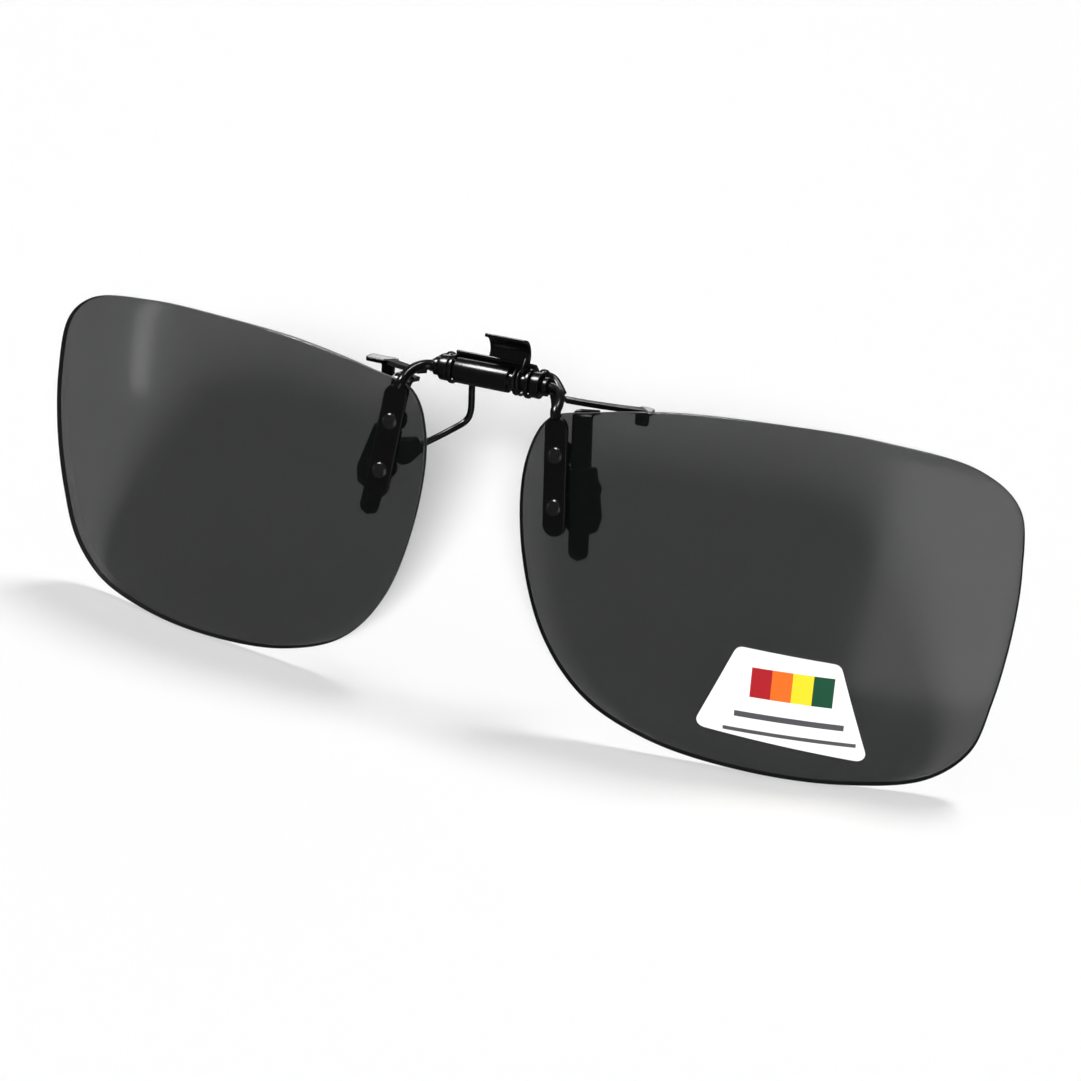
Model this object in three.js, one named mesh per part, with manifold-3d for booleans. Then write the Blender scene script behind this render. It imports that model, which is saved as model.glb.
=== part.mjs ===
// Flip-up clip-on sunglasses, as worn on a pair of spectacles.
// +Z is up, the dark lenses face -Y, and left and right are as seen from the front, right being +X.
// The origin is the middle of the hinge axis, which runs along X through the barrel over the nose.
// Lengths are in millimetres.

import * as THREE from 'three';
import { mergeVertices } from 'three/addons/utils/BufferGeometryUtils.js';
import Module from 'manifold-3d';

// Lenses
const lensCentreX = 37;
const lensForward = 5;            // lens front ahead of the hinge axis
const lensDrop = 20.4;            // lens centre below the hinge axis
const lensWrap = 0.152;           // each lens turns back towards the temple, radians
const lensRadius = 94;            // base curve of the front face
const lensThickness = 1.0;
const lensRings = [0, 0.3, 0.56, 0.8, 1];
const lensSegments = 56;
// Outline of the right lens from its centre: x towards the temple, y up.
const lensOutline = [
  [29.7, 0], [29.7, 8], [28.4, 15.2], [23.6, 19.2], [12, 21.6], [0, 22.1], [-12, 21.5],
  [-22, 19.6], [-27.4, 17.8], [-29.8, 12.5], [-29.6, 2.5], [-25.9, -9.5], [-20, -16.7],
  [-11.5, -20.5], [0, -22.2], [13, -22.2], [22.5, -20.3], [27, -16], [28.7, -9],
];

// Plates riveted to the lens fronts
const plateCentre = [-25.4, 11.3];
const plateLean = 0.12;
const plateWidth = 3.0;
const plateLength = 14.5;
const plateThickness = 0.6;
const rivetHeights = { upper: 2.6, lower: -3.7 };   // from the plate's centre
const rivetShank = 0.6;
const rivetHead = 1.05;
const rivetDome = 0.45;
const rivetHole = 0.9;
const washerRadius = 1.5;
const washerThickness = 0.3;

// Pieces that touch on the real object keep a small gap.
const fitGap = 0.3;
const seatGap = 0.15;             // under the lens plates

// Barrel over the nose, with the lens wire through it
const barrelHalf = 6.6;
const barrelRadius = 1.6;
const barrelEase = 0.15;          // bevel on the barrel's ends
const boreRadius = 0.85;
const neckRadius = 1.15;
const rightNeck = [2.5, 5.5];     // holds the spring and the lever's right ear
const leftNeck = [-5.5, -4.6];    // holds the lever's left ear
const wireRadius = 0.65;
const collarRadius = 1.15;
const collarWidth = 0.6;

// Torsion spring in the barrel's neck
const springWire = 0.18;
const springRadius = 1.55;
const springPitch = 0.55;
const springTurns = 2.5;

// Clip body: arms, top rests, front prongs and their rubber sleeves
const armRadius = 0.58;
const knuckleRadius = 0.75;       // braze where the arm meets the barrel
const sheet = 0.6;
const restStart = [9.5, 0.4, -1.25];
const restYaw = 0.73;
const restPitch = 0.18;
const restLength = 10.7;
const restPlate = [1.9, 1.9];     // end plate, along X and along Y
const restOverhang = { left: 2.2, right: 0.1 };
const restLip = 0.9;              // end plate's front edge ahead of the strip's middle
const tabDrop = 1.35;
const prongTop = [11.95, 0.3, -2.15];
const prongLeanForward = 0.205;
const prongLeanOut = 0.13;
const prongWidth = 2.5;
const prongLength = 18.2;
const flangeLength = 2.6;
const prongBend = 1.0;
const prongTipRadius = 1.25;
const sleeveTop = 6.7;
const sleeveBottom = 14.9;
const sleeveThickness = 2.0;

// Sprung jaw: thumb lever, rear wires and rear pads
const leverHalf = 5.3;
const earWidth = 0.5;
const earRadius = [1.4, 1.8];
const leverInner = 1.95;
const leverOuter = 2.4;
const thumbTab = [-1.0, 4.3];     // the thumb tab's ends along X
const rearWireRadius = 0.42;
const padThickness = 1.8;
const padStart = [10.8, 2.6, -11.8];
const padTurn = 0.55;
const padReach = 1.9;             // from the start of the pad to the middle of its round end
const padEndRadius = 1.7;
const padNeck = 1.0;              // half height of the pad where the wire goes in

// Sticker on the right lens
const stickerGap = 0.2;
const stickerThickness = 0.15;
const stickerCorners = [[-5.8, -16.3], [15.4, -18.2], [10.9, -5.2], [-1.3, -4.6]];

const wasm = await Module();
wasm.setup();

const metal = new THREE.MeshStandardMaterial({ color: 0x0b0b0c, roughness: 0.3, metalness: 0.6 });
const rivetSteel = new THREE.MeshStandardMaterial({ color: 0x1c1c1e, roughness: 0.28, metalness: 0.9 });
const springSteel = new THREE.MeshStandardMaterial({ color: 0x3a3a3d, roughness: 0.25, metalness: 1.0 });
const rubber = new THREE.MeshStandardMaterial({ color: 0x080808, roughness: 0.75, metalness: 0 });
const tint = new THREE.MeshStandardMaterial({ color: 0x2a2d2c, roughness: 0.06, metalness: 0,
  transparent: true, opacity: 0.85 });
const film = new THREE.MeshStandardMaterial({ color: 0xf2f2f0, roughness: 0.4, metalness: 0 });

const clipOns = new THREE.Group();

function addMesh(parent, name, geometry, material) {
  const mesh = new THREE.Mesh(geometry, material);
  mesh.name = name;
  parent.add(mesh);
  return mesh;
}

// Joins the corners that triangles share, so that only positions are left.
function welded(geometry) {
  const bare = geometry.clone();
  for (const name of Object.keys(bare.attributes)) {
    if (name !== 'position') bare.deleteAttribute(name);
  }
  return mergeVertices(bare, 1e-5);
}

function solid(geometry) {
  const bare = welded(geometry);
  return new wasm.Manifold(new wasm.Mesh({
    numProp: 3,
    vertProperties: new Float32Array(bare.attributes.position.array),
    triVerts: new Uint32Array(bare.index.array),
  }));
}

function geometryOf(body) {
  const mesh = body.getMesh();
  const geometry = new THREE.BufferGeometry();
  geometry.setAttribute('position', new THREE.BufferAttribute(mesh.vertProperties, 3));
  geometry.setIndex(new THREE.BufferAttribute(mesh.triVerts, 1));
  return geometry;
}

const joined = (...geometries) => geometryOf(geometries.map(solid).reduce((a, b) => a.add(b)));
const cut = (geometry, ...cutters) =>
  geometryOf(cutters.map(solid).reduce((a, b) => a.subtract(b), solid(geometry)));

// The same piece for the left side: X is reversed, and each triangle is turned to face out again.
function mirrored(geometry) {
  const flipped = welded(geometry);
  flipped.scale(-1, 1, 1);
  const index = flipped.index.array;
  for (let i = 0; i < index.length; i += 3) [index[i], index[i + 1]] = [index[i + 1], index[i]];
  return flipped;
}

// A group for each side, placed for the right and mirrored for the left.
function onBothSides(parent, position, rotation, fill) {
  for (const [side, sign] of [['left', -1], ['right', 1]]) {
    const group = new THREE.Group();
    group.position.set(sign * position[0], position[1], position[2]);
    group.rotation.order = 'ZYX';
    group.rotation.set(rotation[0], sign * rotation[1], sign * rotation[2]);
    parent.add(group);
    const put = (name, geometry, material) =>
      addMesh(group, name, sign > 0 ? geometry : mirrored(geometry), material);
    fill(put, side, group, sign);
  }
}

function roundSection(radius, sides) {
  const points = [];
  for (let i = 0; i < sides; i++) {
    const angle = 2 * Math.PI * i / sides;
    points.push(new THREE.Vector2(radius * Math.cos(angle), radius * Math.sin(angle)));
  }
  return new THREE.Shape(points);
}

const vectors = (points) => points.map((p) => new THREE.Vector3(...p));

function tube(points, radius, sides, steps) {
  const path = new THREE.CatmullRomCurve3(vectors(points), false, 'centripetal');
  const section = roundSection(radius, sides);
  return new THREE.ExtrudeGeometry(section, { steps, extrudePath: path, bevelEnabled: false });
}

const extruded = (shape, depth, curveSegments) =>
  new THREE.ExtrudeGeometry(shape, { depth, bevelEnabled: false, curveSegments });

const lathed = (profile, segments) =>
  new THREE.LatheGeometry(profile.map((p) => new THREE.Vector2(...p)), segments);

// A flat outline in X and Z, given a thickness along Y and centred on it.
function slab(shape, thickness, segments = 6) {
  const geometry = extruded(shape, thickness, segments);
  geometry.rotateX(Math.PI / 2);
  geometry.translate(0, thickness / 2, 0);
  return geometry;
}

// An outline in Y and Z, carried along X from one place to the other.
function sideways(shape, fromX, toX, segments = 8) {
  const geometry = extruded(shape, toX - fromX, segments);
  geometry.rotateY(Math.PI / 2);
  geometry.rotateX(Math.PI / 2);
  geometry.translate(fromX, 0, 0);
  return geometry;
}

// A closed ring around the X axis.
function ringAlongX(inner, outer, fromX, toX, segments = 20) {
  const profile = [[inner, 0], [outer, 0], [outer, toX - fromX], [inner, toX - fromX], [inner, 0]];
  const geometry = lathed(profile, segments);
  geometry.rotateZ(-Math.PI / 2);
  geometry.translate(fromX, 0, 0);
  return geometry;
}

// Lens front face: x towards the temple and z up from the lens centre, lift ahead of the face.
function onLens(x, z, lift) {
  const depth = Math.sqrt(lensRadius ** 2 - x * x - z * z);
  const scale = 1 + lift / lensRadius;
  return new THREE.Vector3(x * scale, lensRadius - depth * scale, z * scale);
}

// A lathed disc whose rings are drawn out to the lens outline and dished to the base curve.
function lensBlank() {
  const corners = vectors(lensOutline.map(([x, z]) => [x, 0, z]));
  const outline = new THREE.CatmullRomCurve3(corners, true, 'centripetal');
  const rim = outline.getSpacedPoints(lensSegments);
  const profile = [];
  lensRings.forEach((k) => profile.push(new THREE.Vector2(k, 0)));
  [...lensRings].reverse().forEach((k) => profile.push(new THREE.Vector2(k, 1)));
  const disc = new THREE.LatheGeometry(profile, lensSegments);
  const place = disc.attributes.position;
  for (let i = 0; i < place.count; i++) {
    const reach = Math.hypot(place.getX(i), place.getZ(i));
    const turn = Math.atan2(place.getZ(i), place.getX(i)) / (2 * Math.PI) * lensSegments;
    const edge = rim[(Math.round(turn) + lensSegments) % lensSegments];
    const lift = place.getY(i) > 0.5 ? -lensThickness : 0;
    const spot = onLens(edge.x * reach, edge.z * reach, lift);
    place.setXYZ(i, spot.x, spot.y, spot.z);
  }
  return disc;
}

// Turns of a group whose -Y axis stands off the lens at a spot on its front face.
function lensFacing(x, z) {
  const pitch = -Math.asin(z / lensRadius);
  return [pitch, 0, Math.asin(x / lensRadius / Math.cos(pitch))];
}

// The rivet runs from the dome on the plate to the peened end behind the washer.
function rivet() {
  const front = -(seatGap + plateThickness + 0.1);
  const reach = lensThickness + fitGap + washerThickness + 0.1 - front;
  const profile = [[0, -rivetDome], [0.5, -0.38], [rivetHead * 0.85, -0.2], [rivetHead, 0],
    [rivetShank, 0], [rivetShank, reach], [0.9, reach], [0.7, reach + 0.2], [0, reach + 0.25]];
  const geometry = lathed(profile, 12);
  geometry.translate(0, front, 0);
  return geometry;
}

function roundedPlate() {
  const radius = plateWidth / 2;
  const reach = plateLength / 2 - radius;
  const shape = new THREE.Shape();
  shape.absarc(0, reach, radius, 0, Math.PI);
  shape.absarc(0, -reach, radius, Math.PI, 2 * Math.PI);
  for (const z of Object.values(rivetHeights)) {
    const hole = new THREE.Path();
    hole.absarc(0, z, rivetHole, 0, 2 * Math.PI, true);
    shape.holes.push(hole);
  }
  const geometry = slab(shape, plateThickness, 5);
  geometry.translate(0, -seatGap - plateThickness / 2, 0);
  return geometry;
}

function washer() {
  const profile = [[rivetHole, 0], [washerRadius, 0], [washerRadius, washerThickness],
    [rivetHole, washerThickness], [rivetHole, 0]];
  const geometry = lathed(profile, 12);
  geometry.translate(0, lensThickness + fitGap, 0);
  return geometry;
}

// Corners are blended across the sticker, and every point is laid on the lens front.
function stickerSheet() {
  const geometry = new THREE.BoxGeometry(1, stickerThickness, 1, 6, 1, 5);
  const place = geometry.attributes.position;
  for (let i = 0; i < place.count; i++) {
    const across = place.getX(i) + 0.5;
    const up = place.getZ(i) + 0.5;
    const blend = (axis) => {
      const low = stickerCorners[0][axis] * (1 - across) + stickerCorners[1][axis] * across;
      const high = stickerCorners[3][axis] * (1 - across) + stickerCorners[2][axis] * across;
      return low * (1 - up) + high * up;
    };
    const lift = stickerGap + (place.getY(i) < 0 ? stickerThickness : 0);
    const spot = onLens(blend(0), blend(1), lift);
    place.setXYZ(i, spot.x, spot.y, spot.z);
  }
  return geometry;
}

// Lens frame: everything that flips up
const lensFrame = new THREE.Group();
clipOns.add(lensFrame);

const lensPlace = [lensCentreX, -lensForward, -lensDrop];
onBothSides(lensFrame, lensPlace, [0, 0, lensWrap], (put, side, group, sign) => {
  const facing = lensFacing(...plateCentre);
  const spot = onLens(...plateCentre, 0);
  const rim = new THREE.Group();
  rim.position.copy(spot);
  rim.rotation.set(facing[0], facing[1], facing[2], 'ZYX');
  const lean = new THREE.Group();
  lean.rotation.y = -plateLean;
  rim.add(lean);
  rim.updateMatrixWorld(true);
  const drills = Object.values(rivetHeights).map((z) => {
    const drill = new THREE.CylinderGeometry(rivetHole, rivetHole, 4, 12);
    drill.translate(0, 0, z);
    return drill.applyMatrix4(lean.matrixWorld);
  });
  put(`lens_${side}`, cut(lensBlank(), ...drills), tint);
  const fixings = new THREE.Group();
  fixings.position.set(sign * spot.x, spot.y, spot.z);
  fixings.rotation.set(facing[0], sign * facing[1], sign * facing[2], 'ZYX');
  group.add(fixings);
  const tilted = new THREE.Group();
  tilted.rotation.y = -sign * plateLean;
  fixings.add(tilted);
  const own = (geometry) => (sign > 0 ? geometry : mirrored(geometry));
  addMesh(tilted, `lens_plate_${side}`, own(roundedPlate()), metal);
  for (const [level, z] of Object.entries(rivetHeights)) {
    addMesh(tilted, `lens_rivet_${side}_${level}`, own(rivet()), rivetSteel).position.z = z;
    addMesh(tilted, `rivet_washer_${side}_${level}`, own(washer()), rivetSteel).position.z = z;
  }
  if (side === 'right') put('sticker', stickerSheet(), film);
});

// The lens wire runs through the barrel, then over the top of each lens and down onto its plate.
const wireBend = [[7.5, 0, 0], [8.7, -0.5, -0.05], [9.6, -1.7, -0.35], [10.0, -3.0, -0.85],
  [10.15, -4.0, -1.5]];
const wireRoute = [...[...wireBend].reverse().map(([x, y, z]) => [-x, y, z]), [-3.7, 0, 0], [0, 0, 0],
  [3.7, 0, 0], ...wireBend];
addMesh(lensFrame, 'lens_wire', tube(wireRoute, wireRadius, 8, 44), metal);
onBothSides(lensFrame, [0, 0, 0], [0, 0, 0], (put, side) => {
  const start = barrelHalf + fitGap;
  const ring = ringAlongX(boreRadius, collarRadius, start, start + collarWidth, 16);
  put(`retaining_collar_${side}`, ring, metal);
});

// Clip body: the barrel with its two brazed arms
const clip = new THREE.Group();
clipOns.add(clip);

function barrel() {
  const neck = ([from, to]) =>
    [[barrelRadius, from], [neckRadius, from], [neckRadius, to], [barrelRadius, to]];
  const profile = [[boreRadius, -barrelHalf], [barrelRadius - barrelEase, -barrelHalf],
    [barrelRadius, -barrelHalf + barrelEase], ...neck(leftNeck), ...neck(rightNeck),
    [barrelRadius, barrelHalf - barrelEase], [barrelRadius - barrelEase, barrelHalf],
    [boreRadius, barrelHalf], [boreRadius, -barrelHalf]];
  const geometry = lathed(profile, 20);
  geometry.rotateZ(-Math.PI / 2);
  return geometry;
}

const armRoute = [[6.2, 1.5, 0.9], [7.2, 1.75, 0.5], [8.2, 1.4, -0.2], [8.9, 0.9, -0.8]];
const knuckle = new THREE.SphereGeometry(knuckleRadius, 10, 8);
knuckle.translate(...armRoute[0]);
const arm = joined(tube(armRoute, armRadius, 8, 12), knuckle);
addMesh(clip, 'clip_body', joined(barrel(), arm, mirrored(arm)), metal);

// Top rest: a strip over the spectacle rim, with an end plate and a tab that hooks behind the rim
function topRest(side) {
  const strip = new THREE.Shape();
  strip.moveTo(0, -0.6);
  strip.quadraticCurveTo(restLength * 0.5, -1.3, restLength, -0.75);
  strip.lineTo(restLength, 0.75);
  strip.quadraticCurveTo(restLength * 0.5, 0, 0, 0.7);
  const geometry = extruded(strip, sheet, 8);
  geometry.translate(0, 0, -sheet / 2);
  const slope = new THREE.Euler(0, restPitch, restYaw, 'ZYX');
  geometry.applyMatrix4(new THREE.Matrix4().makeRotationFromEuler(slope));
  const end = new THREE.Vector3(restLength, 0, 0).applyEuler(slope);
  const [plateX, plateY] = restPlate;
  const front = end.y - restLip;
  const reach = plateX + restOverhang[side];
  const plate = new THREE.BoxGeometry(reach, plateY, sheet);
  plate.translate(end.x + (reach - plateX) / 2, front + plateY / 2, end.z);
  const tab = new THREE.BoxGeometry(plateX - 0.2, sheet, tabDrop + sheet);
  tab.translate(end.x - 0.1, front + sheet / 2, end.z - tabDrop / 2);
  return joined(geometry, plate, tab);
}

onBothSides(clip, restStart, [0, 0, 0], (put, side) => put(`top_rest_${side}`, topRest(side), metal));

// Front prong: a flange under the rest, a bend, and a leg that hangs behind the dark lens
function prong() {
  const half = sheet / 2;
  const tipHeight = -prongLength + prongTipRadius;
  const profile = new THREE.Shape();
  profile.moveTo(flangeLength, 0);
  profile.lineTo(prongBend - half, 0);
  profile.quadraticCurveTo(-half, 0, -half, -prongBend);
  profile.lineTo(-half, tipHeight - 0.05);
  profile.lineTo(half, tipHeight - 0.05);
  profile.lineTo(half, -prongBend);
  profile.quadraticCurveTo(half, -sheet, prongBend, -sheet);
  profile.lineTo(flangeLength, -sheet);
  const strip = sideways(profile, -prongWidth / 2, prongWidth / 2, 4);
  const tip = new THREE.Shape();
  tip.moveTo(-1.2, -sleeveBottom + 1);
  tip.lineTo(-prongTipRadius, tipHeight);
  tip.absarc(0, tipHeight, prongTipRadius, Math.PI, 2 * Math.PI);
  tip.lineTo(1.2, -sleeveBottom + 1);
  return joined(strip, slab(tip, sheet, 5));
}

// Rubber sleeve: straight on the nose side, flared towards the temple, round at the bottom
function sleeve() {
  const shape = new THREE.Shape();
  shape.moveTo(-1.6, -sleeveTop);
  shape.lineTo(1.9, -sleeveTop);
  shape.lineTo(2.8, -sleeveBottom + 2.2);
  shape.quadraticCurveTo(2.8, -sleeveBottom + 0.5, 1.1, -sleeveBottom);
  shape.lineTo(-0.9, -sleeveBottom);
  shape.quadraticCurveTo(-1.6, -sleeveBottom, -1.6, -sleeveBottom + 1);
  const slot = new THREE.BoxGeometry(prongWidth + 0.5, sheet + 0.5, 12);
  slot.translate(0, 0, -(sleeveTop + sleeveBottom) / 2);
  return cut(slab(shape, sleeveThickness, 6), slot);
}

onBothSides(clip, prongTop, [-prongLeanForward, -prongLeanOut, 0], (put, side) => {
  put(`front_prong_${side}`, prong(), metal);
  put(`front_sleeve_${side}`, sleeve(), rubber);
});

// Torsion spring, wound round the barrel's neck, with a leg up to the thumb tab
function spring() {
  const points = [];
  const steps = 11;
  const start = rightNeck[0] + fitGap + springWire;
  for (let i = 0; i <= springTurns * steps; i++) {
    const angle = -Math.PI / 2 + 2 * Math.PI * i / steps;
    const x = start + springPitch * i / steps;
    points.push([x, springRadius * Math.cos(angle), springRadius * Math.sin(angle)]);
  }
  const legX = points[points.length - 1][0] + 0.05;
  points.push([legX, -springRadius, 0.9], [legX, -1.1, 2.1], [legX, -0.3, 3.1]);
  return tube(points, springWire, 6, 48);
}
addMesh(clip, 'torsion_spring', spring(), springSteel);

// Sprung jaw, which turns on the barrel
const jaw = new THREE.Group();
clipOns.add(jaw);

function lever() {
  const sector = (inner, outer, from, to) => {
    const shape = new THREE.Shape();
    shape.absarc(0, 0, outer, from, to);
    shape.absarc(0, 0, inner, to, from, true);
    return shape;
  };
  const tab = new THREE.Shape();
  tab.moveTo(0.9, 1.85);
  tab.quadraticCurveTo(1.3, 3.1, 0.75, 4.2);
  tab.quadraticCurveTo(0.4, 4.85, -0.7, 5.0);
  tab.lineTo(-0.6, 5.4);
  tab.quadraticCurveTo(0.75, 5.3, 1.2, 4.3);
  tab.quadraticCurveTo(1.8, 3.1, 1.4, 1.85);
  const pieces = [
    sideways(sector(leverInner, leverOuter, -0.45, 1.15), -leverHalf, leverHalf, 8),
    sideways(tab, thumbTab[0], thumbTab[1], 5),
  ];
  for (const x of [-leverHalf, leverHalf - earWidth]) {
    pieces.push(ringAlongX(earRadius[0], earRadius[1], x, x + earWidth));
    pieces.push(sideways(sector(earRadius[1] - 0.1, leverOuter - 0.1, -0.4, 1.1), x, x + earWidth, 8));
  }
  return joined(...pieces);
}
addMesh(jaw, 'thumb_lever', lever(), metal);

// The rear wires bow back clear of the spectacle bridge, then turn out and forward to the pads.
const rearRoute = [[4.2, 2.9, -0.8], [4.5, 4.9, -1.2], [5.2, 6.4, -2.3], [5.6, 7.0, -4.2], [5.6, 7.0, -7.6],
  [6.0, 6.8, -8.7], [7.5, 5.2, -9.9], [10.4, 2.75, -11.75], [12.3, 2.5, -13.0]];

// Pad: a rubber paddle over the end of the wire, its flat face forward
function pad() {
  const shape = new THREE.Shape();
  shape.moveTo(-0.5, -padNeck);
  shape.lineTo(-0.5, padNeck);
  shape.lineTo(padReach - 0.2, padEndRadius);
  shape.absarc(padReach, 0, padEndRadius, Math.PI / 2, -Math.PI / 2, true);
  shape.lineTo(-0.5, -padNeck);
  return slab(shape, padThickness, 6);
}

onBothSides(jaw, [0, 0, 0], [0, 0, 0], (put, side, group, sign) => {
  put(`rear_wire_${side}`, tube(rearRoute, rearWireRadius, 8, 24), metal);
  const end = new THREE.Group();
  end.position.set(sign * padStart[0], padStart[1], padStart[2]);
  end.rotation.order = 'ZYX';
  end.rotation.set(0, sign * padTurn, 0);
  group.add(end);
  const bore = tube(rearRoute, rearWireRadius + fitGap, 8, 24);
  const place = new THREE.Matrix4().makeRotationY(padTurn);
  place.setPosition(...padStart);
  bore.applyMatrix4(place.invert());
  const body = cut(pad(), bore);
  addMesh(end, `rear_pad_${side}`, sign > 0 ? body : mirrored(body), rubber);
});

export default clipOns;
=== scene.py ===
"""Flip-up clip-on sunglasses: the finished surfaces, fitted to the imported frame.

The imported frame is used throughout: +Z up as worn, lenses facing -Y, the origin on the hinge axis.
Shapes are written in millimetres and become metres when a mesh is made.
A piece that comes in a pair is worked out for the right side and mirrored for the left.
"""
import math

import bpy
import numpy as np
from mathutils import Matrix, Vector


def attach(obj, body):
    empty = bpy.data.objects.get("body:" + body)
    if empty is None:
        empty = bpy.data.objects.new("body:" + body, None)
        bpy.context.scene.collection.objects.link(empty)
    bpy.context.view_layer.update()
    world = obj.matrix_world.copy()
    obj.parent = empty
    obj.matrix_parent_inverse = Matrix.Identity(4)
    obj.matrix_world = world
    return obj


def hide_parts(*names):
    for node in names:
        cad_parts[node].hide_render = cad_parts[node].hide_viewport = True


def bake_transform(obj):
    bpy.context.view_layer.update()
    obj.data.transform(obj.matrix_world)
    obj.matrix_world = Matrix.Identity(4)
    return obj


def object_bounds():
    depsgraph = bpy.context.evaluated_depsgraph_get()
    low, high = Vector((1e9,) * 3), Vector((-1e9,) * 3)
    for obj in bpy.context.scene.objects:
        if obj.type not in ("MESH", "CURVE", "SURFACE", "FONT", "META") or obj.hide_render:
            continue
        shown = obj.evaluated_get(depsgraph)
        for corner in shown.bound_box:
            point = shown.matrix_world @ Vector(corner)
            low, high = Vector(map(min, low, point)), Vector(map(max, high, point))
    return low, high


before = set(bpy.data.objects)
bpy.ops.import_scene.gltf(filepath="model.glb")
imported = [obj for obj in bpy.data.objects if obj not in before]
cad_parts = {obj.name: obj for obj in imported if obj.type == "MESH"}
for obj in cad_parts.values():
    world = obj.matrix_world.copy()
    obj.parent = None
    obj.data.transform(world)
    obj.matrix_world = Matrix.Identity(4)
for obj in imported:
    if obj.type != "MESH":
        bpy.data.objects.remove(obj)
cad_box = [list(corner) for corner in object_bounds()]

MM = 0.001
SIDES = {"left": -1.0, "right": 1.0}

# Lenses
LENS_CENTRE = (37.0, -5.0, -20.4)
LENS_WRAP = 0.152
LENS_RADIUS = 94.0
LENS_THICKNESS = 1.0
LENS_EASE = 0.22          # how far the rim's corners are rounded
LENS_REACH = 25.0         # a usual distance from the middle to the rim
RIM_FACING = 0.55         # faces whose normals have less than this along Y are the ground edge
LENS_OUTLINE = [
    (29.7, 0), (29.7, 8), (28.4, 15.2), (23.6, 19.2), (12, 21.6), (0, 22.1), (-12, 21.5),
    (-22, 19.6), (-27.4, 17.8), (-29.8, 12.5), (-29.6, 2.5), (-25.9, -9.5), (-20, -16.7),
    (-11.5, -20.5), (0, -22.2), (13, -22.2), (22.5, -20.3), (27, -16), (28.7, -9),
]

# Lens plates and rivets
PLATE_CENTRE = (-25.4, 11.3)
PLATE_LEAN = 0.12
PLATE_WIDTH, PLATE_LENGTH, PLATE_THICKNESS = 3.0, 14.5, 0.6
PLATE_EASE = 0.14
RIVET_HEIGHTS = {"upper": 2.6, "lower": -3.7}
RIVET_DOME, RIVET_HEAD_RADIUS, RIVET_SHANK_RADIUS = 0.42, 1.05, 0.6
RIVET_LIFT = 0.02         # the head's clearance from the plate
WASHER_THICKNESS, WASHER_BORE, WASHER_RADIUS = 0.3, 0.9, 1.5
SEAT_GAP, FIT_GAP = 0.15, 0.3

# Barrel, lens wire and collars
BARREL_HALF, BARREL_RADIUS, BORE_RADIUS, NECK_RADIUS = 6.6, 1.6, 0.85, 1.15
RIGHT_NECK, LEFT_NECK = (2.5, 5.5), (-5.5, -4.6)
COLLAR_WIDTH, COLLAR_RADIUS = 0.6, 1.15
WIRE_RADIUS = 0.65
WIRE_STRAIGHT = 3.7       # a point on each side that keeps the wire straight inside the barrel
WIRE_BEND = [(7.5, 0, 0), (8.7, -0.5, -0.05), (9.6, -1.7, -0.35), (10.0, -3.0, -0.85), (10.15, -4.0, -1.5),
             (10.45, -4.35, -2.2)]
ARM_ROUTE = [(6.2, 1.5, 0.9), (7.2, 1.9, 0.5), (8.2, 1.4, -0.2), (8.9, 0.9, -0.8)]
ARM_RADIUS = 0.58
KNUCKLE_RADIUS = 0.75

# Rests, prongs and sleeves
SHEET, SHEET_EASE = 0.6, 0.12
PLATE_TRIM = 0.02         # the end plate is this much thinner on each face than the strip
REST_START = (9.5, 0.4, -1.25)
REST_YAW, REST_PITCH, REST_LENGTH = 0.73, 0.18, 10.7
REST_PLATE = 1.9
REST_SET_BACK = 0.9       # from the end plate's front edge to the end of the strip
REST_OVERHANG = {"left": 2.2, "right": 0.1}
TAB_DROP = 1.35
PRONG_TOP = (11.95, 0.3, -2.15)
PRONG_FORWARD, PRONG_OUT = 0.205, 0.13
PRONG_WIDTH, PRONG_LENGTH = 2.5, 18.2
PRONG_FLANGE, PRONG_BEND, PRONG_TIP = 2.6, 0.95, 1.25
SLEEVE_TOP, SLEEVE_BOTTOM, SLEEVE_THICKNESS = 6.7, 14.9, 2.0

# Jaw
LEVER_HALF, LEVER_MIDDLE, LEVER_THICKNESS = 5.3, 2.175, 0.45
THUMB_TAB = (-1.0, 4.3)
THUMB_CURL = [(1.1, 1.75), (1.42, 2.6), (1.4, 3.4), (1.02, 4.2), (0.45, 4.8), (-0.65, 5.2)]
SADDLE_SWEEP, EAR_SWEEP = (-0.45, 1.15), (-0.4, 1.1)
EAR_HALF, EAR_RADII = 0.25, (1.4, 1.8)
WEB_RADIUS, WEB_HALF_WIDTH, WEB_HALF = 1.95, 0.24, 0.3    # what joins each ear to the saddle
REAR_ROUTE = [(4.15, 2.2, -0.72), (4.25, 3.1, -0.83), (4.5, 4.9, -1.2), (5.2, 6.4, -2.3),
              (5.6, 7.0, -4.2), (5.6, 7.0, -7.6), (6.0, 6.8, -8.7), (7.5, 5.2, -9.9),
              (10.4, 2.75, -11.75), (12.3, 2.5, -13.0)]
REAR_WIRE_RADIUS = 0.42
PAD_START, PAD_TURN, PAD_THICKNESS = (10.8, 2.6, -11.8), 0.55, 1.8
PAD_REACH, PAD_HALF_HEIGHT = 3.6, 1.7
PAD_CROWN = 0.08

# Spring
SPRING_WIRE, SPRING_RADIUS, SPRING_PITCH, SPRING_TURNS = 0.18, 1.55, 0.55, 2.5
SPRING_LEG = [(-SPRING_RADIUS, 0.9), (-1.1, 2.1), (-0.3, 3.1)]

# Sticker corners on the right lens, from the lower inner one round
STICKER = [(-5.8, -16.3), (15.4, -18.2), (10.9, -5.2), (-1.3, -4.6)]
STICKER_LIFT, STICKER_THICKNESS = 0.2, 0.12

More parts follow.
